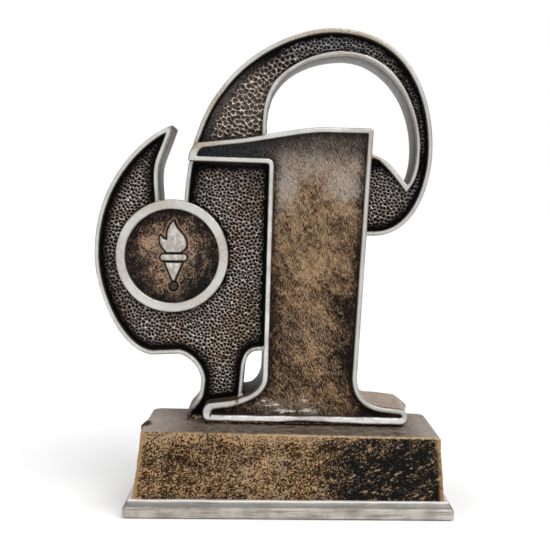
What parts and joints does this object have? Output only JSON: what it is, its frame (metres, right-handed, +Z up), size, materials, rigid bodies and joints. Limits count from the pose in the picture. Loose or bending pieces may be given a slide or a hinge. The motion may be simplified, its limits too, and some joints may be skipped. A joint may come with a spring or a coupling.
{
  "type": "numeral trophy",
  "caption": "Cast desk trophy: a large rimmed numeral in front of an open pebbled swirl with a torch roundel, standing on a tapered bronze block and a thin grey plinth.",
  "frame": {"origin": "middle of the underside, on the felt pad that the trophy stands on", "axes": "+X to the right as seen from the front, +Y from the front to the back, +Z up along the height"},
  "size_m": [0.0974, 0.0384, 0.1303],
  "materials": {
    "pewter": "satin",
    "plinth_grey": "satin",
    "block_bronze": "satin",
    "panel_bronze": "satin",
    "pebbled_bronze": "satin",
    "badge_bronze": "satin",
    "badge_silver": "satin",
    "felt": "matte",
    "steel": "satin",
    "brass": "satin"
  },
  "bodies": {
    "root": {"felt_pad": "felt", "plinth": "plinth_grey", "pedestal_block": "block_bronze", "swirl_plate": "pebbled_bronze", "numeral_body": "panel_bronze", "numeral_rim": "pewter", "lobe_rim": "pewter", "slot_rim": "pewter", "crown_rim": "pewter", "opening_rim": "pewter", "arch_rim": "pewter", "roundel_ring": "pewter", "roundel_disc": "badge_bronze", "torch_flame": "badge_silver", "torch_collar": "badge_silver", "torch_handle": "badge_silver", "torch_ball": "badge_bronze", "foot_bolt_left": "steel", "foot_washer_left": "steel", "foot_insert_left": "brass", "foot_bolt_right": "steel", "foot_washer_right": "steel", "foot_insert_right": "brass", "lap_dowel_upper": "steel", "lap_dowel_lower": "steel"}
  },
  "joints": []
}
